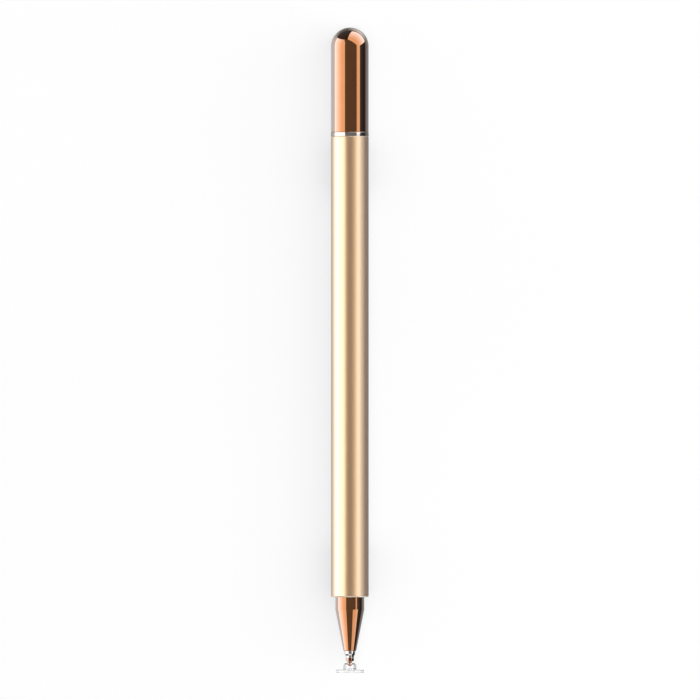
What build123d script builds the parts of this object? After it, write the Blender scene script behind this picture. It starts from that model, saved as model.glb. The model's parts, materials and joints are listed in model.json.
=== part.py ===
from build123d import *
import os
from math import acos, asin, degrees, radians, sqrt, tan

# A disc-tipped stylus pen lying on its side, sizes in millimetres.
# The pen's axis runs along Y, one barrel radius above the table, with the nib towards -Y and the
# cap towards +Y. Every piece is turned, so each sketch is a half section: x is the distance from
# the pen's axis and y is the distance from the face of the disc that touches the screen.

# Barrel
barrel_diameter = 9.0
barrel_wall = 1.0
barrel_length = 110.0
barrel_edge = 0.25

# Nose, and what it shares with the tail plug
nose_straight_length = 3.0
nose_cone_length = 9.9
nose_tip_wall = 0.48
nose_tip_edge = 0.12
pilot_length = 1.2
magnet_wall = 0.9
magnet_length = 4.0
bush_length = 8.0
bush_edge = 0.2
spigot_length = 5.0
spigot_edge = 0.35

# Cap
cap_shell_length = 25.0
cap_ring_length = 1.0
cap_ring_lip_length = 0.8
cap_liner_wall = 0.43
cap_liner_length = 10.0
trim_edge = 0.08

# Nib: film, disc, hub, ball stem and collar
film_thickness = 0.1
film_margin = 0.1
disc_diameter = 6.75
disc_thickness = 0.55
disc_edge = 0.15
ball_diameter = 1.3
ball_height = 1.43
seat_drop = 0.2
lip_rise = 0.19
mouth_depth = 0.03
mouth_flare = 0.03
hub_rim = 0.8
hub_draft = 0.075
hub_shoulder = 0.6
hub_wall = 0.4
hub_core_edge = 0.2
neck_diameter = 0.78
neck_length = 0.05
stem_taper_length = 0.23
stem_straight_length = 0.67
stem_diameter = 1.96
pin_diameter = 0.9
rivet_lip = 0.2
rivet_height = 0.35
rivet_edge = 0.12
collar_step_length = 0.45
collar_length = 1.1
collar_bevel = 0.22
collar_flange = 0.275
stud_wall = 0.3
stud_length = 4.0
drill_relief = 0.5
drill_angle = 118.0

# Clearances, each on the radius or along the axis
slide_fit = 0.04
glue_gap = 0.02
magnet_gap = 0.05
ring_gap = 0.1
ball_fit = 0.02
pin_fit = 0.03
rivet_gap = 0.05
swivel_gap = 0.03

# Radii that follow from the sizes above
barrel_radius = barrel_diameter / 2
bore_radius = barrel_radius - barrel_wall
nose_radius = bore_radius - slide_fit
shank_radius = bore_radius - magnet_wall - 2 * magnet_gap
cap_radius = barrel_radius
liner_bore_radius = nose_radius + slide_fit
liner_radius = liner_bore_radius + cap_liner_wall
cap_bore_radius = liner_radius + glue_gap
ring_bore_radius = nose_radius + ring_gap
ball_radius = ball_diameter / 2
socket_radius = ball_radius + ball_fit
lip_radius = sqrt(socket_radius**2 - lip_rise**2)
mouth_radius = lip_radius + mouth_flare
hub_top_radius = mouth_radius + hub_rim
hub_base_radius = hub_top_radius + hub_draft
hub_core_radius = hub_base_radius - hub_wall
neck_radius = neck_diameter / 2
stem_radius = stem_diameter / 2
pin_radius = pin_diameter / 2
rivet_radius = pin_radius + rivet_lip
pocket_radius = rivet_radius + rivet_gap
stud_radius = pocket_radius + stud_wall
collar_radius = stud_radius + collar_flange
stud_hole_radius = stud_radius + glue_gap
nose_tip_radius = stud_hole_radius + nose_tip_wall

# Depth of a drilled hole's point, for a radius of 1
drill_point = 1 / tan(radians(drill_angle / 2))

# Stations along the pen, from the disc's touching face
disc_bottom = film_thickness
disc_top = disc_bottom + disc_thickness
ball_center = disc_top + ball_height
hub_core_top = ball_center - seat_drop
lip_station = ball_center + lip_rise
hub_top = lip_station + mouth_depth
neck_start = ball_center + sqrt(ball_radius**2 - neck_radius**2)
taper_start = neck_start + neck_length
straight_start = taper_start + stem_taper_length
stem_top = straight_start + stem_straight_length
collar_bottom = stem_top + swivel_gap
collar_seat = collar_bottom + collar_step_length
nose_tip = collar_seat + collar_length
stud_top = nose_tip + stud_length
stud_hole_end = stud_top + drill_relief
rivet_top = stud_top - rivet_gap
rivet_bottom = rivet_top - rivet_height
pocket_floor = rivet_bottom - swivel_gap
cone_start = nose_tip + nose_cone_length
barrel_front = cone_start + nose_straight_length
front_magnet_seat = barrel_front + pilot_length
front_bush_seat = front_magnet_seat + magnet_length
front_bush_end = front_bush_seat + bush_length
barrel_rear = barrel_front + barrel_length
tail_magnet_seat = barrel_rear - pilot_length
tail_bush_seat = tail_magnet_seat - magnet_length
tail_bush_end = tail_bush_seat - bush_length
spigot_end = barrel_rear + spigot_length
cap_shell_start = barrel_rear + cap_ring_length
cap_liner_start = cap_shell_start + cap_ring_lip_length
cap_top = cap_shell_start + cap_shell_length
dome_center = cap_top - cap_radius

# The half sections' plane and the axis they turn about, midway along Y
overall_length = cap_top
section_plane = Plane(origin=(0, -overall_length / 2, barrel_radius), x_dir=(1, 0, 0), z_dir=(0, 0, 1))
pen_axis = Axis((0, 0, barrel_radius), (0, 1, 0))

os.makedirs("parts", exist_ok=True)


def tube_section(inner_radius, outer_radius, start, end):
    with Locations((inner_radius, start)):
        return Rectangle(outer_radius - inner_radius, end - start, align=(Align.MIN, Align.MIN))


# Barrel: plain tube with a bright chamfer on each outer edge
with BuildPart() as barrel:
    with BuildSketch(section_plane) as barrel_section:
        tube_section(bore_radius, barrel_radius, barrel_front, barrel_rear)
        chamfer(barrel_section.vertices().group_by(Axis.X)[-1], barrel_edge)
    revolve(axis=pen_axis)
barrel.part.label = "barrel"
export_step(barrel.part, "parts/barrel.step")

# Nose cone: pilot in the barrel's mouth, shank through magnet and bush, stud hole in the tip
with BuildPart() as nose_cone:
    with BuildSketch(section_plane) as nose_section:
        with BuildLine():
            Polyline(
                (stud_hole_radius, nose_tip),
                (nose_tip_radius, nose_tip),
                (nose_radius, cone_start),
                (nose_radius, front_magnet_seat),
                (shank_radius, front_magnet_seat),
                (shank_radius, front_bush_end),
                (0, front_bush_end),
                (0, stud_hole_end + drill_point * stud_hole_radius),
                (stud_hole_radius, stud_hole_end),
                close=True,
            )
        make_face()
        tip_corner = nose_section.vertices().group_by(Axis.Y)[0].sort_by(Axis.X)[-1]
        chamfer(tip_corner, nose_tip_edge)
    revolve(axis=pen_axis)
nose_cone.part.label = "nose_cone"
export_step(nose_cone.part, "parts/nose_cone.step")

# Magnets and bushes, the same pair at both ends: the bush is pressed into the barrel and takes the
# shank of the nose or the tail plug, whose pilot traps the ring magnet against it
for end_name, magnet_start, bush_start in (
    ("front", front_magnet_seat, front_bush_seat),
    ("tail", tail_bush_seat, tail_bush_end),
):
    with BuildPart() as magnet:
        with BuildSketch(section_plane):
            magnet_end = magnet_start + magnet_length
            tube_section(shank_radius + magnet_gap, bore_radius - magnet_gap, magnet_start, magnet_end)
        revolve(axis=pen_axis)
    magnet.part.label = f"{end_name}_magnet"
    export_step(magnet.part, f"parts/{end_name}_magnet.step")

    with BuildPart() as bush:
        with BuildSketch(section_plane) as bush_section:
            bush_end = bush_start + bush_length
            tube_section(shank_radius + glue_gap, bore_radius - glue_gap, bush_start, bush_end)
            chamfer(bush_section.vertices().group_by(Axis.X)[-1], bush_edge)
        revolve(axis=pen_axis)
    bush.part.label = f"{end_name}_bush"
    export_step(bush.part, f"parts/{end_name}_bush.step")

# Tail plug: spigot for the posted cap, with its pilot and shank inside the barrel
with BuildPart() as tail_plug:
    with BuildSketch(section_plane) as tail_plug_section:
        tube_section(0, nose_radius, tail_magnet_seat, spigot_end)
        spigot_corner = tail_plug_section.vertices().group_by(Axis.Y)[-1].sort_by(Axis.X)[-1]
        chamfer(spigot_corner, spigot_edge)
        tube_section(0, shank_radius, tail_bush_end, tail_magnet_seat)
    revolve(axis=pen_axis)
tail_plug.part.label = "tail_plug"
export_step(tail_plug.part, "parts/tail_plug.step")

# Cap shell: thin turned tube closed by a hemisphere, drilled out from its mouth
with BuildPart() as cap_shell:
    with BuildSketch(section_plane) as cap_section:
        with BuildLine():
            outer_wall = Line((cap_radius, cap_shell_start), (cap_radius, dome_center))
            outer_dome = CenterArc((0, dome_center), cap_radius, 0, 90)
            Polyline(
                outer_dome @ 1,
                (0, dome_center + drill_point * cap_bore_radius),
                (cap_bore_radius, dome_center),
                (cap_bore_radius, cap_shell_start),
                outer_wall @ 0,
            )
        make_face()
        rim_corner = cap_section.vertices().group_by(Axis.Y)[0].sort_by(Axis.X)[-1]
        chamfer(rim_corner, trim_edge)
    revolve(axis=pen_axis)
cap_shell.part.label = "cap_shell"
export_step(cap_shell.part, "parts/cap_shell.step")

# Cap ring: flush steel ring on the cap's rim, with a lip inside the shell
with BuildPart() as cap_ring:
    with BuildSketch(section_plane) as cap_ring_section:
        tube_section(ring_bore_radius, cap_radius, barrel_rear, cap_shell_start)
        chamfer(cap_ring_section.vertices().group_by(Axis.X)[-1], trim_edge)
        tube_section(ring_bore_radius, liner_radius, cap_shell_start, cap_liner_start)
    revolve(axis=pen_axis)
cap_ring.part.label = "cap_ring"
export_step(cap_ring.part, "parts/cap_ring.step")

# Cap liner: sleeve behind the ring that slides on the spigot and on the nose
with BuildPart() as cap_liner:
    with BuildSketch(section_plane):
        tube_section(liner_bore_radius, liner_radius, cap_liner_start, cap_liner_start + cap_liner_length)
    revolve(axis=pen_axis)
cap_liner.part.label = "cap_liner"
export_step(cap_liner.part, "parts/cap_liner.step")

# Nib collar: bevelled flange against the nose's tip, stud inside it, bore and pocket for the rivet
with BuildPart() as nib_collar:
    with BuildSketch(section_plane) as collar_section:
        tube_section(pin_radius + pin_fit, collar_radius, collar_seat, nose_tip)
        flange_corner = collar_section.vertices().group_by(Axis.Y)[0].sort_by(Axis.X)[-1]
        chamfer(flange_corner, 2 * collar_bevel, collar_bevel)
        tube_section(pin_radius + pin_fit, stem_radius, collar_bottom, collar_seat)
        tube_section(pin_radius + pin_fit, stud_radius, nose_tip, pocket_floor)
        tube_section(pocket_radius, stud_radius, pocket_floor, stud_top)
    revolve(axis=pen_axis)
nib_collar.part.label = "nib_collar"
export_step(nib_collar.part, "parts/nib_collar.step")

# Ball stem: ball, waist and barrel-shaped head of the nib, on a pin that is riveted over inside
with BuildPart() as ball_stem:
    neck_angle = degrees(acos(neck_radius / ball_radius))
    with BuildSketch(section_plane) as stem_section:
        with BuildLine():
            ball_arc = CenterArc((0, ball_center), ball_radius, -90, 90 + neck_angle)
            Polyline(
                ball_arc @ 1,
                (neck_radius, taper_start),
                (stem_radius, straight_start),
                (stem_radius, stem_top),
                (pin_radius, stem_top),
                (pin_radius, rivet_bottom),
                (rivet_radius, rivet_bottom),
                (rivet_radius, rivet_top),
                (0, rivet_top),
                ball_arc @ 0,
            )
        make_face()
        rivet_corner = stem_section.vertices().group_by(Axis.Y)[-1].sort_by(Axis.X)[-1]
        chamfer(rivet_corner, rivet_edge)
    revolve(axis=pen_axis)
ball_stem.part.label = "ball_stem"
export_step(ball_stem.part, "parts/ball_stem.step")

# Disc hub: clear dome, hollow like a cup over the disc; its roof is a ring-shaped seat that closes
# past the ball's middle on both sides, under a flared mouth
with BuildPart() as disc_hub:
    lip_angle = degrees(asin(lip_rise / socket_radius))
    seat_angle = degrees(asin(seat_drop / socket_radius))
    with BuildSketch(section_plane) as hub_section:
        with BuildLine():
            seat_arc = CenterArc((0, ball_center), socket_radius, -seat_angle, seat_angle + lip_angle)
            Polyline(
                seat_arc @ 1,
                (mouth_radius, hub_top),
                (hub_top_radius, hub_top),
                (hub_base_radius, disc_top),
                (hub_core_radius, disc_top),
                (hub_core_radius, hub_core_top),
                seat_arc @ 0,
            )
        make_face()
        shoulder_corner = hub_section.vertices().group_by(Axis.Y)[-1].sort_by(Axis.X)[-1]
        fillet(shoulder_corner, min(hub_shoulder, hub_rim - hub_draft))
        core_corner = hub_section.vertices().sort_by_distance((hub_core_radius, hub_core_top))[0]
        chamfer(core_corner, hub_core_edge)
    revolve(axis=pen_axis)
disc_hub.part.label = "disc_hub"
export_step(disc_hub.part, "parts/disc_hub.step")

# Touch disc: thin clear disc with a bevelled upper edge
with BuildPart() as touch_disc:
    with BuildSketch(section_plane) as disc_section:
        tube_section(0, disc_diameter / 2, disc_bottom, disc_top)
        disc_corner = disc_section.vertices().group_by(Axis.Y)[-1].sort_by(Axis.X)[-1]
        chamfer(disc_corner, disc_edge)
    revolve(axis=pen_axis)
touch_disc.part.label = "touch_disc"
export_step(touch_disc.part, "parts/touch_disc.step")

# Contact film: conductive film on the disc's underside, just inside its edge
with BuildPart() as contact_film:
    with BuildSketch(section_plane):
        tube_section(0, disc_diameter / 2 - film_margin, 0, film_thickness)
    revolve(axis=pen_axis)
contact_film.part.label = "contact_film"
export_step(contact_film.part, "parts/contact_film.step")
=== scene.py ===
import json
import math

import bmesh
import bpy
from mathutils import Matrix, Vector

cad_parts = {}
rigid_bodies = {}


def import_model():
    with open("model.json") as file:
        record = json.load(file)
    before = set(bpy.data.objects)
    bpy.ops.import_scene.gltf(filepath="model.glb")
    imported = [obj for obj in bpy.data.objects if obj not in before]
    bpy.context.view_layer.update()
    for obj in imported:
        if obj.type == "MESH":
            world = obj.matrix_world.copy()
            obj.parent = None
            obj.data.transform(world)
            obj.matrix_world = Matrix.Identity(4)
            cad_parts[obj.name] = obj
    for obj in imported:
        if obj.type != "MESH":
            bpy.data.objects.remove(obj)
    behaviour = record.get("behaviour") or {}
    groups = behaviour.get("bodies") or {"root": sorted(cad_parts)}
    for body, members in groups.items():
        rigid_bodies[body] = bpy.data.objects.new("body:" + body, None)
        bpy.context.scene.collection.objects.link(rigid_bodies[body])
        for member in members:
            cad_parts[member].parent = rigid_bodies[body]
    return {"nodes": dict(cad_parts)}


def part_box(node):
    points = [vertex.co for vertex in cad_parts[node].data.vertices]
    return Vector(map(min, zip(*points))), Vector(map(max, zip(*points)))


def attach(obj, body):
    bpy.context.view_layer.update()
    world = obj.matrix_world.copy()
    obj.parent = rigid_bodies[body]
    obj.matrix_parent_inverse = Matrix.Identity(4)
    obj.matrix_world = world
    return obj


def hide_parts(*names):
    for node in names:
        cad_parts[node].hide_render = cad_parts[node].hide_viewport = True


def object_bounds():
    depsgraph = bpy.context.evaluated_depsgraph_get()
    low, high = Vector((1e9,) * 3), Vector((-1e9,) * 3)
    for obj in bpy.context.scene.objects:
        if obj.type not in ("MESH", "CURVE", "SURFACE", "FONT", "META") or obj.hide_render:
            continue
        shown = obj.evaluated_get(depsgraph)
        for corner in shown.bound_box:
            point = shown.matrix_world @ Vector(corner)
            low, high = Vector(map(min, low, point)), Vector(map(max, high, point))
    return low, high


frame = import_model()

cadBox = [list(corner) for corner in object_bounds()]
scene = bpy.context.scene
mm = 0.001

# the pen lies along Y, stations are counted in mm from the touching face of its nib
tipY = cadBox[0][1]
axisZ = (cadBox[0][2] + cadBox[1][2]) / 2
turnSteps = 144
arcSteps = 24
weldReach = 1e-7
sharpFrom = math.radians(38)
print("frame loaded:", len(frame["nodes"]), "nodes")


# turning: a half outline in the plane of the pen's axis, spun once round it
def at(radius, station):
    return (radius * mm, tipY + station * mm, axisZ)


def reach(node):  # outer radius, first and last station of a CAD node
    low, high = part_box(node)
    return (high.x - low.x) / 2 / mm, (low.y - tipY) / mm, (high.y - tipY) / mm


def drawOutline(bm, outline, closed):  # joins the corners and returns those to round
    first = last = None
    corners = []
    for radius, station, rounding in outline:
        if radius == "arc":  # about a point of the axis, from the last corner, by an angle in degrees
            arc = bmesh.ops.spin(bm, geom=[last], cent=at(0, station), axis=(0, 0, 1),
                                 angle=math.radians(rounding), steps=arcSteps)
            last = [part for part in arc["geom_last"] if isinstance(part, bmesh.types.BMVert)][0]
            continue
        corner = bm.verts.new(at(radius, station))
        if last:
            bm.edges.new((last, corner))
        if rounding:
            corners.append((corner, rounding))
        first = first or corner
        last = corner
    if closed:
        bm.edges.new((last, first))
    return corners


def roundCorners(bm, corners, segments):
    for corner, rounding in corners:
        bmesh.ops.bevel(bm, geom=[corner], offset=rounding * mm, offset_type="OFFSET",
                        affect="VERTICES", segments=segments, profile=0.5, material=-1)


def addObject(bm, name):
    mesh = bpy.data.meshes.new(name)
    bm.to_mesh(mesh)
    bm.free()
    thing = bpy.data.objects.new(name, mesh)
    scene.collection.objects.link(thing)
    return thing


def turnPiece(name, outline, closed=False, segments=4):
    bm = bmesh.new()
    roundCorners(bm, drawOutline(bm, outline, closed), segments)
    bmesh.ops.spin(bm, geom=bm.verts[:] + bm.edges[:], cent=(0, 0, axisZ), axis=(0, 1, 0),
                   angle=math.tau, steps=turnSteps, use_merge=True)
    bmesh.ops.remove_doubles(bm, verts=bm.verts[:], dist=weldReach)
    bmesh.ops.recalc_face_normals(bm, faces=bm.faces[:])
    for face in bm.faces:
        face.smooth = True
    for edge in bm.edges:
        edge.smooth = edge.calc_face_angle(0) < sharpFrom
    piece = addObject(bm, name)
    evenNormals = piece.modifiers.new("evenNormals", "WEIGHTED_NORMAL")
    evenNormals.keep_sharp = True
    return piece


def place(piece, body, slot, *nodes):
    piece.visible_diffuse = False  # keeps coloured glints off the floor
    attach(piece, body)
    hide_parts(*nodes)


def finishZone(piece, finish, start, end):  # a second finish on the faces between two stations
    piece.data.materials.append(finish)
    low, high = at(0, start)[1], at(0, end)[1]
    for face in piece.data.polygons:
        if low < face.center.y < high:
            face.material_index = len(piece.data.materials) - 1


# node helpers shared by the finishes and the studio
tintSpan = (0.3, 0.7)  # a grain's share where the low and the high colour are reached


def feed(tree, socket, value):
    if isinstance(value, bpy.types.NodeSocket):
        tree.links.new(value, socket)
    else:
        socket.default_value = value


def calc(tree, operation, *values):
    node = tree.nodes.new("ShaderNodeMath")
    node.operation = operation
    for socket, value in zip(node.inputs, values):
        feed(tree, socket, value)
    return node.outputs[0]


def spread(tree, value, low, high, start=0.0, end=1.0, kind="LINEAR"):
    node = tree.nodes.new("ShaderNodeMapRange")
    node.interpolation_type = kind
    for socket, number in zip(node.inputs, (value, start, end, low, high)):
        feed(tree, socket, number)
    return node.outputs[0]


def ease(tree, value, start, end):  # 0 at start, 1 at end, soft between
    return spread(tree, value, 0.0, 1.0, start, end, "SMOOTHSTEP")


def blendLevel(tree, share, low, high):
    node = tree.nodes.new("ShaderNodeMix")
    for socket, value in zip(node.inputs[:1] + node.inputs[2:4], (share, low, high)):
        feed(tree, socket, value)
    return node.outputs[0]


def objectGrain(tree, spec):
    coords = tree.nodes.new("ShaderNodeTexCoord")
    mapping = tree.nodes.new("ShaderNodeMapping")
    mapping.inputs["Scale"].default_value = spec.get("stretch", (1, 1, 1))
    tree.links.new(coords.outputs["Object"], mapping.inputs["Vector"])
    grain = tree.nodes.new("ShaderNodeTexNoise")
    grain.inputs["Scale"].default_value = spec["grainScale"]
    grain.inputs["Detail"].default_value = spec["grainDetail"]
    tree.links.new(mapping.outputs[0], grain.inputs["Vector"])
    return grain.outputs["Fac"]


def tint(tree, share, spec):
    ramp = tree.nodes.new("ShaderNodeValToRGB")
    for element, position, colour in zip(ramp.color_ramp.elements, tintSpan, (spec["low"], spec["high"])):
        element.position = position
        element.color = (*colour, 1)
    tree.links.new(share, ramp.inputs["Fac"])
    return ramp.outputs["Color"]


def levelRamp(tree, share, stops):
    ramp = tree.nodes.new("ShaderNodeValToRGB")
    elements = ramp.color_ramp.elements
    while len(elements) < len(stops):
        elements.new(0.5)
    for element, (position, level) in zip(elements, stops):
        element.position = position
        element.color = (level, level, level, 1)
    tree.links.new(share, ramp.inputs["Fac"])
    return ramp.outputs["Color"]


def newFinish(name):
    finish = bpy.data.materials.new(name)
    finish.use_nodes = True
    tree = finish.node_tree
    return finish, tree, tree.nodes["Principled BSDF"]


def dress(tree, shader, grain, spec):  # colour, gloss and relief that follow one grain
    tree.links.new(tint(tree, grain, spec), shader.inputs["Base Color"])
    tree.links.new(spread(tree, grain, *spec["roughness"]), shader.inputs["Roughness"])
    bump = tree.nodes.new("ShaderNodeBump")
    bump.inputs["Strength"].default_value = spec["bump"]
    bump.inputs["Distance"].default_value = spec["depth"]
    tree.links.new(grain, bump.inputs["Height"])
    tree.links.new(bump.outputs["Normal"], shader.inputs["Normal"])


def addClearLayer(tree, shader, spec):  # a hard clear layer that whitens the gloss towards the sides
    facing = tree.nodes.new("ShaderNodeLayerWeight").outputs["Facing"]
    tree.links.new(levelRamp(tree, facing, spec["clearLayer"]), shader.inputs["Coat Weight"])
    shader.inputs["Coat IOR"].default_value = spec["clearIor"]
    shader.inputs["Coat Roughness"].default_value = spec["clearRoughness"]


def metalFinish(name, spec):
    finish, tree, shader = newFinish(name)
    shader.inputs["Metallic"].default_value = 1
    shader.inputs["Specular Tint"].default_value = (*spec.get("edge", (1, 1, 1)), 1)
    dress(tree, shader, objectGrain(tree, spec), spec)
    if "clearLayer" in spec:
        addClearLayer(tree, shader, spec)
    return finish


# metals
champagneSpec = {
    "low": (0.735, 0.48, 0.28), "high": (0.775, 0.51, 0.305), "roughness": (0.34, 0.39),
    "grainScale": 9000, "grainDetail": 3, "bump": 0.12, "depth": 0.00002, "edge": (0.4, 0.52, 0.74),
    "clearLayer": [(0, 0), (0.08, 0.22), (0.13, 0.45), (0.2, 0.65), (0.3, 0.7), (0.42, 0.8), (0.55, 0.55),
                   (0.7, 0.4), (1, 0.4)],
    "clearIor": 3.4, "clearRoughness": 0.38,
}
brightCutSpec = {
    "low": (0.9, 0.77, 0.61), "high": (0.94, 0.81, 0.65), "roughness": (0.34, 0.4),
    "grainScale": 4000, "grainDetail": 2, "stretch": (1, 6, 1), "bump": 0.03, "depth": 0.00001,
}
roseGoldSpec = {
    "low": (0.375, 0.155, 0.064), "high": (0.395, 0.166, 0.07), "roughness": (0.035, 0.055),
    "grainScale": 420, "grainDetail": 4, "bump": 0.01, "depth": 0.00001, "edge": (0.6, 0.85, 0.95),
    "clearLayer": [(0.1, 0), (0.5, 1)], "clearIor": 4.0, "clearRoughness": 0.02,
}
chromeSpec = {
    "low": (0.58, 0.56, 0.54), "high": (0.63, 0.61, 0.59), "roughness": (0.04, 0.07),
    "grainScale": 900, "grainDetail": 3, "bump": 0.01, "depth": 0.00001,
}
steelSpec = {
    "low": (0.53, 0.475, 0.43), "high": (0.58, 0.52, 0.475), "roughness": (0.05, 0.08),
    "grainScale": 3000, "grainDetail": 3, "stretch": (1, 8, 1), "bump": 0.02, "depth": 0.00001,
    "edge": (0.55, 0.53, 0.5),
}
brassSpec = {
    "low": (0.52, 0.33, 0.10), "high": (0.62, 0.41, 0.14), "roughness": (0.22, 0.34),
    "grainScale": 2500, "grainDetail": 4, "stretch": (1, 8, 1), "bump": 0.08, "depth": 0.00002,
}
nickelSpec = {
    "low": (0.44, 0.43, 0.40), "high": (0.52, 0.51, 0.47), "roughness": (0.2, 0.32),
    "grainScale": 1500, "grainDetail": 5, "bump": 0.06, "depth": 0.00002,
}
champagneAnodise = metalFinish("champagneAnodise", champagneSpec)
brightCut = metalFinish("brightCut", brightCutSpec)
roseGoldPlate = metalFinish("roseGoldPlate", roseGoldSpec)
brightChrome = metalFinish("brightChrome", chromeSpec)
polishedSteel = metalFinish("polishedSteel", steelSpec)
turnedBrass = metalFinish("turnedBrass", brassSpec)
magnetNickel = metalFinish("magnetNickel", nickelSpec)


# copper: plated over fine turning marks that run round the stem
copperSpec = {
    "low": (0.27, 0.122, 0.058), "high": (0.31, 0.142, 0.07), "roughness": (0.09, 0.14),
    "markScale": 3900, "markWobble": 0.6, "markDetail": 1, "bump": 0.03, "depth": 0.000004,
    "clearLayer": [(0, 0), (0.35, 1)], "clearIor": 3.6, "clearRoughness": 0.03,
}


def copperFinish():
    finish, tree, shader = newFinish("copperPlate")
    coords = tree.nodes.new("ShaderNodeTexCoord")
    marks = tree.nodes.new("ShaderNodeTexWave")
    marks.bands_direction = "Y"
    marks.inputs["Scale"].default_value = copperSpec["markScale"]
    marks.inputs["Distortion"].default_value = copperSpec["markWobble"]
    marks.inputs["Detail"].default_value = copperSpec["markDetail"]
    tree.links.new(coords.outputs["Object"], marks.inputs["Vector"])
    shader.inputs["Metallic"].default_value = 1
    dress(tree, shader, marks.outputs["Fac"], copperSpec)
    addClearLayer(tree, shader, copperSpec)
    return finish


# dark plastic of the cap's liner
darkPlasticSpec = {
    "low": (0.018, 0.018, 0.02), "high": (0.03, 0.03, 0.033), "roughness": (0.42, 0.58),
    "grainScale": 5000, "grainDetail": 3, "bump": 0.2, "depth": 0.00002,
}


def darkPlasticFinish():
    finish, tree, shader = newFinish("linerPlastic")
    dress(tree, shader, objectGrain(tree, darkPlasticSpec), darkPlasticSpec)
    return finish


# clear finishes: painted shade, grey levels from face on to edge on, so that the plastic looks darker towards
# its edges
clearSpec = {
    "hubPlastic": {"levels": [(0.2, 0.985), (0.38, 0.6), (0.55, 0.42), (0.75, 0.55), (1, 0.6)],
                   "roughness": (0.0, 0.02)},
    "clearPlastic": {"levels": [(0.25, 0.98), (0.65, 0.7)], "roughness": (0.0, 0.02)},
    "clearFilm": {"levels": [(0.25, 0.945), (0.65, 0.6)], "roughness": (0.02, 0.06)},
}
hazeSpec = {"grainScale": 700, "grainDetail": 3, "middle": 0.5, "share": 0.1, "ior": 1.5}


def clearFinish(name):
    spec = clearSpec[name]
    finish, tree, shader = newFinish(name)
    haze = objectGrain(tree, hazeSpec)
    # painted shade: the colour darkens as the surface turns edge on, with a little haze mixed in
    facing = tree.nodes.new("ShaderNodeLayerWeight").outputs["Facing"]
    hazeAndEdgeShade = calc(tree, "SUBTRACT", haze, hazeSpec["middle"])
    hazeAndEdgeShade = calc(tree, "MULTIPLY_ADD", hazeAndEdgeShade, hazeSpec["share"], facing)
    tree.links.new(levelRamp(tree, hazeAndEdgeShade, spec["levels"]), shader.inputs["Base Color"])
    tree.links.new(spread(tree, haze, *spec["roughness"]), shader.inputs["Roughness"])
    shader.inputs["Transmission Weight"].default_value = 1
    shader.inputs["IOR"].default_value = hazeSpec["ior"]
    return finish


copperPlate = copperFinish()
linerPlastic = darkPlasticFinish()
hubPlastic = clearFinish("hubPlastic")
clearPlastic = clearFinish("clearPlastic")
clearFilm = clearFinish("clearFilm")
print("finishes ready")


# barrel: satin tube with a bright cut on each outer edge
barrelSpec = {"wall": 1.0, "cut": 0.25, "rearCut": 0.12, "soft": 0.03}


def makeBarrel():
    radius, front, rear = reach("barrel")
    bore, soft = radius - barrelSpec["wall"], barrelSpec["soft"]
    cut, rearCut = barrelSpec["cut"], barrelSpec["rearCut"]
    barrel = turnPiece("barrelTube", [
        (bore, front, soft), (radius - cut, front, soft), (radius, front + cut, soft),
        (radius, rear - rearCut, soft), (radius - rearCut, rear, soft), (bore, rear, soft),
    ], closed=True)
    barrel.data.materials.append(champagneAnodise)
    finishZone(barrel, brightCut, front - cut, front + cut)
    finishZone(barrel, brightCut, rear - rearCut, rear + rearCut)
    place(barrel, "pen", "champagne_anodise", "barrel")


# nose: pilot and shank inside the barrel, straight stretch and cone outside, stud hole in the tip
noseSpec = {"coneLength": 9.9, "tipEdge": 0.12, "tipRadius": 1.5, "pilotEnd": 4.2, "shankRadius": 2.5,
            "holeRadius": 1.02, "holeDepth": 4.5, "holePoint": 0.61, "soft": 0.03, "shoulder": 0.12}


def makeNose():
    radius, tip, shankEnd = reach("nose_cone")
    coneStart = tip + noseSpec["coneLength"]
    shank, seat = noseSpec["shankRadius"], coneStart + noseSpec["pilotEnd"]
    edge, tipRadius, soft = noseSpec["tipEdge"], noseSpec["tipRadius"], noseSpec["soft"]
    slope = (radius - tipRadius) / noseSpec["coneLength"]
    hole, holeEnd = noseSpec["holeRadius"], tip + noseSpec["holeDepth"]
    nose = turnPiece("noseCone", [
        (0, shankEnd, 0), (shank, shankEnd, soft), (shank, seat, 0), (radius, seat, soft),
        (radius, coneStart, noseSpec["shoulder"]), (tipRadius + edge * slope, tip + edge, soft),
        (tipRadius - edge, tip, soft), (hole, tip, soft), (hole, holeEnd, 0),
        (0, holeEnd + noseSpec["holePoint"], 0),
    ])
    nose.data.materials.append(roseGoldPlate)
    place(nose, "pen", "rose_gold_plate", "nose_cone")


# tail plug: polished spigot for the posted cap
plugSpec = {"spigot": 5.0, "pilot": 1.2, "edge": 0.35, "shankRadius": 2.5, "soft": 0.05}


def makeTailPlug():
    radius, shankEnd, rear = reach("tail_plug")
    seat = rear - plugSpec["spigot"] - plugSpec["pilot"]
    edge, shank, soft = plugSpec["edge"], plugSpec["shankRadius"], plugSpec["soft"]
    plug = turnPiece("tailPlug", [
        (0, shankEnd, 0), (shank, shankEnd, soft), (shank, seat, 0), (radius, seat, soft),
        (radius, rear - edge, soft), (radius - edge, rear, soft), (0, rear, 0),
    ])
    plug.data.materials.append(roseGoldPlate)
    place(plug, "pen", "rose_gold_plate", "tail_plug")


# cap shell: polished, with a round end, drilled out from its mouth
shellSpec = {"wall": 0.55, "edge": 0.08, "soft": 0.02, "drillPoint": 2.37}


def makeCapShell():
    radius, mouth, top = reach("cap_shell")
    domeCentre = top - radius
    bore, edge, soft = radius - shellSpec["wall"], shellSpec["edge"], shellSpec["soft"]
    shell = turnPiece("capShell", [
        (0, domeCentre + shellSpec["drillPoint"], 0), (bore, domeCentre, 0), (bore, mouth, soft),
        (radius - edge, mouth, soft), (radius, mouth + edge, soft), (radius, domeCentre, 0),
        ("arc", domeCentre, 90),
    ])
    shell.data.materials.append(roseGoldPlate)
    place(shell, "cap", "rose_gold_plate", "cap_shell")


# cap ring: steel ring at the cap's mouth, with a lip inside the shell
ringSpec = {"bore": 3.56, "lipRadius": 3.93, "lipLength": 0.8, "edge": 0.08, "soft": 0.02}


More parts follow.
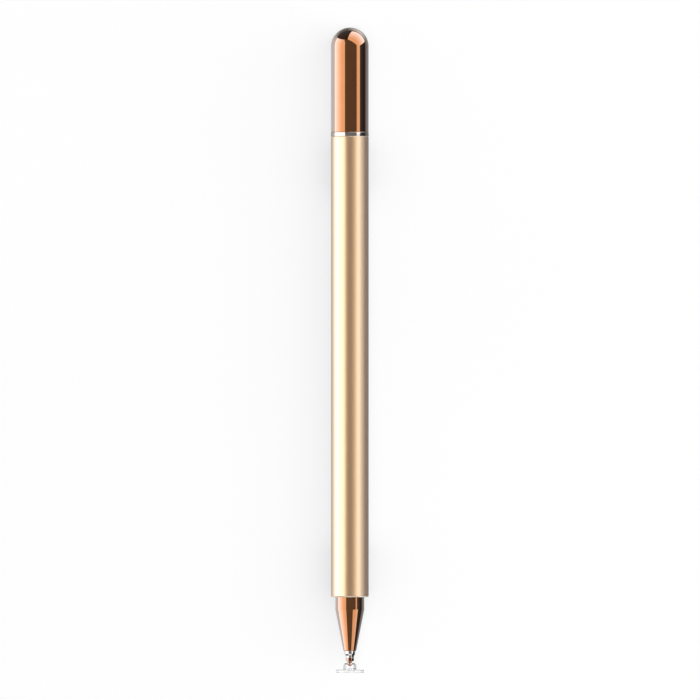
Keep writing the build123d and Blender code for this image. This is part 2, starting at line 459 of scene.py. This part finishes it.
def makeCapRing():
    radius, front, lipEnd = reach("cap_ring")
    rear = lipEnd - ringSpec["lipLength"]
    bore, lip, edge, soft = (ringSpec[size] for size in ("bore", "lipRadius", "edge", "soft"))
    ring = turnPiece("capRing", [
        (bore, front, soft), (radius - edge, front, soft), (radius, front + edge, soft),
        (radius, rear - edge, soft), (radius - edge, rear, soft), (lip, rear, 0),
        (lip, lipEnd, soft), (bore, lipEnd, soft),
    ], closed=True)
    ring.data.materials.append(polishedSteel)
    place(ring, "cap", "polished_steel", "cap_ring")


# cap liner: dark sleeve behind the ring
linerSpec = {"wall": 0.43, "soft": 0.12}


def makeCapLiner():
    radius, front, rear = reach("cap_liner")
    bore, soft = radius - linerSpec["wall"], linerSpec["soft"]
    liner = turnPiece("capLiner", [
        (bore, front, soft), (radius, front, soft), (radius, rear, soft), (bore, rear, soft),
    ], closed=True)
    liner.data.materials.append(linerPlastic)
    place(liner, "cap", "liner_plastic", "cap_liner")


# nib collar: chrome flange under the nose's tip, with its stud inside
collarSpec = {"bore": 0.48, "step": 0.45, "stepRadius": 0.98, "flange": 1.1, "bevelLong": 0.44,
              "bevelWide": 0.22, "studRadius": 1.0, "pocketRadius": 0.7, "pocketDepth": 0.6, "soft": 0.025}


def makeCollar():
    radius, bottom, studEnd = reach("nib_collar")
    step, seat = collarSpec["stepRadius"], bottom + collarSpec["step"]
    flangeEnd = seat + collarSpec["flange"]
    bore, stud, soft = collarSpec["bore"], collarSpec["studRadius"], collarSpec["soft"]
    pocket, pocketFloor = collarSpec["pocketRadius"], studEnd - collarSpec["pocketDepth"]
    collar = turnPiece("nibCollar", [
        (bore, bottom, soft), (step, bottom, soft), (step, seat, 0),
        (radius - collarSpec["bevelWide"], seat, soft), (radius, seat + collarSpec["bevelLong"], soft),
        (radius, flangeEnd, soft), (stud, flangeEnd, 0), (stud, studEnd, soft),
        (pocket, studEnd, soft), (pocket, pocketFloor, 0), (bore, pocketFloor, soft),
    ], closed=True)
    collar.data.materials.append(brightChrome)
    place(collar, "pen", "bright_chrome", "nib_collar")


# ball stem: ball in the hub, waist, head under the collar, pin riveted over inside it
stemSpec = {"ballRadius": 0.65, "ballCentre": 2.08, "neckRadius": 0.44, "taperStart": 2.62,
            "straightStart": 2.81, "straightEnd": 3.55, "pinRadius": 0.45, "rivetRadius": 0.65,
            "rivetHeight": 0.35, "rivetEdge": 0.12, "soft": 0.04}


def makeStem():
    radius, _, rivetTop = reach("ball_stem")
    ball, ballCentre = stemSpec["ballRadius"], stemSpec["ballCentre"]
    neck, pin, soft = stemSpec["neckRadius"], stemSpec["pinRadius"], stemSpec["soft"]
    headEnd = stemSpec["straightEnd"]
    rivet, edge = stemSpec["rivetRadius"], stemSpec["rivetEdge"]
    rivetBottom = rivetTop - stemSpec["rivetHeight"]
    ballTurn = 90 + math.degrees(math.acos(neck / ball))
    stem = turnPiece("ballStem", [
        (0, ballCentre - ball, 0), ("arc", ballCentre, ballTurn), (neck, stemSpec["taperStart"], soft),
        (radius, stemSpec["straightStart"], soft), (radius, headEnd, soft), (pin, headEnd, 0),
        (pin, rivetBottom, 0), (rivet, rivetBottom, soft), (rivet, rivetTop - edge, soft),
        (rivet - edge, rivetTop, soft), (0, rivetTop, 0),
    ])
    stem.data.materials.append(copperPlate)
    place(stem, "nib_stem", "copper_plate", "ball_stem")


# clear nib: hub and disc cemented into one body of plastic, hollow above a recess in the disc, too clear
# to cast a shadow
nibSpec = {"socketRadius": 0.648, "seatDrop": 0.2, "lipRise": 0.19, "mouthRadius": 0.67, "mouthEdge": 0.01,
           "wall": 0.4, "coreEdge": 0.15, "shoulder": 0.6, "draft": 0.075, "rootFillet": 0.04,
           "recess": 0.35, "recessFillet": 0.04, "discEdge": 0.15, "faceEdge": 0.05, "segments": 8}


def makeClearNib():
    discRadius, discBottom, discTop = reach("touch_disc")
    hubBase, _, hubTop = reach("disc_hub")
    ballCentre, socket, drop = stemSpec["ballCentre"], nibSpec["socketRadius"], nibSpec["seatDrop"]
    core, coreTop = hubBase - nibSpec["wall"], ballCentre - drop
    seat, recess = math.sqrt(socket ** 2 - drop ** 2), discTop - nibSpec["recess"]
    seatTurn = math.degrees(math.asin(drop / socket) + math.asin(nibSpec["lipRise"] / socket))
    nib = turnPiece("clearNib", [
        (0, recess, 0), (core, recess, nibSpec["recessFillet"]), (core, coreTop, nibSpec["coreEdge"]),
        (seat, coreTop, 0), ("arc", ballCentre, seatTurn),
        (nibSpec["mouthRadius"], hubTop, nibSpec["mouthEdge"]),
        (hubBase - nibSpec["draft"], hubTop, nibSpec["shoulder"]),
        (hubBase, discTop, nibSpec["rootFillet"]), (discRadius, discTop, nibSpec["discEdge"]),
        (discRadius, discBottom, nibSpec["faceEdge"]), (0, discBottom, 0),
    ], segments=nibSpec["segments"])
    nib.data.materials.append(clearPlastic)
    # the hub takes the clear finish with the deepest painted shade towards its edges
    finishZone(nib, hubPlastic, discTop + nibSpec["rootFillet"], hubTop + nibSpec["discEdge"])
    place(nib, "disc", "clear_plastic", "disc_hub", "touch_disc")
    nib.visible_shadow = False


# contact film: under the disc, a hair short of it, and as clear
filmSpec = {"gap": 0.004, "edge": 0.02}


def makeFilm():
    radius, bottom, top = reach("contact_film")
    top -= filmSpec["gap"]
    film = turnPiece("contactFilm", [
        (0, bottom, 0), (radius, bottom, filmSpec["edge"]), (radius, top, filmSpec["edge"]), (0, top, 0),
    ])
    film.data.materials.append(clearFilm)
    place(film, "disc", "clear_film", "contact_film")
    film.visible_shadow = False


makeBarrel()
makeNose()
makeTailPlug()
makeCapShell()
makeCapRing()
makeCapLiner()
makeCollar()
makeStem()
makeClearNib()
makeFilm()
for node, finish in (("front_bush", turnedBrass), ("tail_bush", turnedBrass),
                     ("front_magnet", magnetNickel), ("tail_magnet", magnetNickel)):
    frame["nodes"][node].data.materials.clear()
    frame["nodes"][node].data.materials.append(finish)


def mattFinish(name, spec):  # for the stage, without gloss
    finish, tree, shader = newFinish(name)
    tree.links.new(tint(tree, objectGrain(tree, spec), spec), shader.inputs["Base Color"])
    shader.inputs["Roughness"].default_value = 1
    shader.inputs["Specular IOR Level"].default_value = 0
    shader.inputs["Emission Color"].default_value = (1, 1, 1, 1)
    shader.inputs["Emission Strength"].default_value = spec["glow"]
    return finish


# floor: pale and flat, it glows a little so that it stays white round a light shadow
floorSpec = {"half": 3.0, "cells": 8, "low": (0.54, 0.54, 0.54), "high": (0.56, 0.56, 0.56), "glow": 0.61,
             "grainScale": 6, "grainDetail": 2}


def makeFloor():
    bm = bmesh.new()
    bmesh.ops.create_grid(bm, x_segments=floorSpec["cells"], y_segments=floorSpec["cells"],
                          size=floorSpec["half"])
    floor = addObject(bm, "floor")
    floor.data.materials.append(mattFinish("paleFloor", floorSpec))
    floor.visible_glossy = False


# flag: small black card beside the nib, unseen itself, that the right of collar and stem reflects
flagSpec = {"away": 5.0, "middle": 0.3, "length": 6.6, "rise": 4.75, "height": 8.5, "glow": 0.0,
            "low": (0.002, 0.002, 0.002), "high": (0.004, 0.004, 0.004), "grainScale": 900, "grainDetail": 2}


def makeFlag():
    centre = (flagSpec["away"] * mm, tipY + flagSpec["middle"] * mm, flagSpec["rise"] * mm)
    upright = Matrix.Translation(centre) @ Matrix.Rotation(math.radians(90), 4, "Y")
    stretch = Matrix.Diagonal((flagSpec["height"] * mm, flagSpec["length"] * mm, 1, 1))
    bm = bmesh.new()
    bmesh.ops.create_grid(bm, x_segments=1, y_segments=1, size=0.5, matrix=upright @ stretch)
    flag = addObject(bm, "flag")
    flag.data.materials.append(mattFinish("blackCard", flagSpec))
    flag.visible_camera = flag.visible_diffuse = False
    flag.visible_transmission = flag.visible_shadow = False


# lamps: three for floor and plastic, unseen in the polished metal, and three small ones for the barrel alone
lampSpec = {
    "keyRight": {"place": (1.3, 0.15, 0.9), "size": 1.8, "power": 18},
    "fillLeft": {"place": (-1.3, 0.15, 0.9), "size": 1.8, "power": 9},
    "overhead": {"place": (0.0, 0.1, 1.9), "size": 1.6, "power": 12},
    "tubeGlow": {"place": (0.99, 0.0, 0.08), "size": 0.5, "power": 0.3, "lights": "barrelTube"},
    "tubeLeft": {"place": (-0.6, 0.0, 0.8), "size": 0.35, "power": 0.22, "lights": "barrelTube"},
    "tubeRight": {"place": (0.52, 0.0, 0.85), "size": 0.3, "power": 0.1, "lights": "barrelTube"},
}


def makeLamps():
    for name, spec in lampSpec.items():
        lamp = bpy.data.lights.new(name, "AREA")
        lamp.size = spec["size"]
        lamp.energy = spec["power"]
        holder = bpy.data.objects.new(name, lamp)
        holder.location = spec["place"]
        holder.rotation_euler = Vector(spec["place"]).to_track_quat("Z", "Y").to_euler()
        holder.visible_glossy = "lights" in spec
        holder.visible_camera = False
        scene.collection.objects.link(holder)
        if "lights" in spec:
            lit = bpy.data.collections.new(name)
            lit.objects.link(bpy.data.objects[spec["lights"]])
            holder.light_linking.receiver_collection = lit


# studio that the metal reflects: light levels by degrees round the pen, 0 above it, 90 to its right
studioSpec = {
    "left": [(-180, 1.0), (-107, 1.0), (-105.5, 2.3), (-66, 2.4), (-46, 2.25), (-31, 2.1), (-30, 0.26)],
    "right": [(88, 0.05), (106, 0.03), (113, 0.2), (180, 0.45)], "leftLean": 0.3, "leanFrom": 0.35,
    "strip": [(42, 0.24), (43, 1.8), (64, 1.8), (65, 0.12)],
    "noseStrip": [(48.5, 0.24), (49.5, 2.2), (56.5, 2.2), (57.5, 0.2)],
    "noseFrom": (-0.003, -0.006), "noseTo": (-0.034, -0.026),
    "coneStrip": [(25, 0.24), (26, 1.9), (69, 1.9), (70, 0.1)], "coneFrom": (-0.12, -0.2),
    "boxTilt": (0, 1, -0.08), "boxEnd": (0.56, 0.58), "boxStart": (-0.42, -0.5), "endLevel": 0.08,
    "frontLeft": (-0.5, -0.42), "frontRight": (0.82, 0.76), "frontTop": (-0.5, -0.56),
    "frontBottom": (-0.86, -0.82), "frontLevel": 1.5, "tipEnd": (-0.88, -0.94), "tipEndLevel": 0.75,
    "floorTilt": (0.054, 0, 1), "floorEdge": (-0.28, -0.6), "floorSides": (1.0, 0.26), "floorFar": (0.2, 1.6),
    "floorFarSpan": (-0.1, 0.6), "floorTurn": (0.25, 0.75),
    "panelCentre": (0.484, 0.574, 0.164), "panelRise": (0.205, 0.219, -0.564),
    "panelSide": (0.513, -0.38, -0.077), "panelAhead": (0.0, 0.05), "panelEdge": (1.03, 0.97),
    "panelLevel": 2.1,
}


def along(tree, direction, vector):
    node = tree.nodes.new("ShaderNodeVectorMath")
    node.operation = "DOT_PRODUCT"
    tree.links.new(direction, node.inputs[0])
    node.inputs[1].default_value = vector
    return node.outputs["Value"]


def turnRamp(tree, turnShare, strip):
    stops = studioSpec["left"] + studioSpec[strip] + studioSpec["right"]
    return levelRamp(tree, turnShare, [((degrees + 180) / 360, level) for degrees, level in stops])


def roundLevel(tree, x, y, z):  # panels and gaps round the pen, one set each for body, nose and cone
    lean = calc(tree, "MINIMUM", x, 0.0)  # moves the left panel's upper edge where the dome shows it
    for part, start in ((y, studioSpec["leanFrom"]), (z, 0.0)):
        rise = calc(tree, "SUBTRACT", part, start)
        lean = calc(tree, "MULTIPLY", lean, calc(tree, "MAXIMUM", rise, 0.0))
    turn = calc(tree, "DIVIDE", calc(tree, "ARCTAN2", x, z), math.tau)
    turn = calc(tree, "SUBTRACT", turn, calc(tree, "MULTIPLY", lean, studioSpec["leftLean"]))
    turnShare = calc(tree, "ADD", turn, 0.5)
    body, nose, cone = (turnRamp(tree, turnShare, strip) for strip in ("strip", "noseStrip", "coneStrip"))
    fromBody, toCone = (ease(tree, y, *studioSpec[end]) for end in ("noseFrom", "noseTo"))
    level = blendLevel(tree, calc(tree, "MULTIPLY", fromBody, toCone), body, nose)
    return blendLevel(tree, ease(tree, y, *studioSpec["coneFrom"]), level, cone)


def endLevel(tree, direction, x, y, level):  # dark ends of the studio, with a front panel below the nib
    for measure, end in ((y, "boxStart"), (along(tree, direction, studioSpec["boxTilt"]), "boxEnd")):
        level = blendLevel(tree, ease(tree, measure, *studioSpec[end]), level, studioSpec["endLevel"])
    front = 1.0
    for measure, edge in ((x, "frontLeft"), (x, "frontRight"), (y, "frontTop"), (y, "frontBottom")):
        front = calc(tree, "MULTIPLY", ease(tree, measure, *studioSpec[edge]), front)
    level = blendLevel(tree, front, level, studioSpec["frontLevel"])
    return blendLevel(tree, ease(tree, y, *studioSpec["tipEnd"]), level, studioSpec["tipEndLevel"])


def floorLevel(tree, x, y):  # what lies below the pen, brighter to the left, or to the right beyond the cap
    sides = spread(tree, x, *studioSpec["floorSides"], -1.0, 1.0)
    far = spread(tree, x, *studioSpec["floorFar"], *studioSpec["floorFarSpan"])
    return blendLevel(tree, ease(tree, y, *studioSpec["floorTurn"]), sides, far)


def panelShare(tree, direction):  # 1 inside a flat panel of light, by where a ray meets its plane
    centre, rise, side = (Vector(studioSpec[key]) for key in ("panelCentre", "panelRise", "panelSide"))
    normal = rise.cross(side)
    ahead = along(tree, direction, normal / normal.dot(centre))
    share = ease(tree, ahead, *studioSpec["panelAhead"])
    for half, other in ((rise, side), (side, rise)):
        measure = other.cross(normal)
        measure /= measure.dot(half)
        met = calc(tree, "DIVIDE", along(tree, direction, measure), ahead)
        offset = calc(tree, "ABSOLUTE", calc(tree, "SUBTRACT", met, centre.dot(measure)))
        share = calc(tree, "MULTIPLY", share, ease(tree, offset, *studioSpec["panelEdge"]))
    return share


def makeStudio():
    world = bpy.data.worlds.new("studio")
    scene.world = world
    world.use_nodes = True
    world.cycles_visibility.diffuse = False
    tree = world.node_tree
    direction = tree.nodes.new("ShaderNodeTexCoord").outputs["Generated"]
    parts = tree.nodes.new("ShaderNodeSeparateXYZ")
    tree.links.new(direction, parts.inputs[0])
    x, y, z = parts.outputs
    level = endLevel(tree, direction, x, y, roundLevel(tree, x, y, z))
    below = ease(tree, along(tree, direction, studioSpec["floorTilt"]), *studioSpec["floorEdge"])
    level = blendLevel(tree, below, level, floorLevel(tree, x, y))
    level = blendLevel(tree, panelShare(tree, direction), level, studioSpec["panelLevel"])
    tree.links.new(level, tree.nodes["Background"].inputs["Strength"])
    tree.nodes["Background"].inputs["Color"].default_value = (1, 1, 1, 1)


# camera: straight down on the lying pen from far off, cap at the top of the picture
cameraSpec = {"lens": 1200, "sensor": 36, "width": 167.11, "right": 0.036, "up": 0.005, "clipEnd": 20}


def makeCamera():
    lens = bpy.data.cameras.new("camera")
    lens.lens = cameraSpec["lens"]
    lens.sensor_width = cameraSpec["sensor"]
    lens.clip_end = cameraSpec["clipEnd"]
    camera = bpy.data.objects.new("camera", lens)
    distance = cameraSpec["width"] * mm * cameraSpec["lens"] / cameraSpec["sensor"]
    camera.location = (cameraSpec["right"] * mm, cameraSpec["up"] * mm, axisZ + distance)
    scene.collection.objects.link(camera)
    scene.camera = camera


makeFloor()
makeFlag()
makeLamps()
makeStudio()
makeCamera()
scene.view_settings.view_transform = "Standard"
print("stage set")
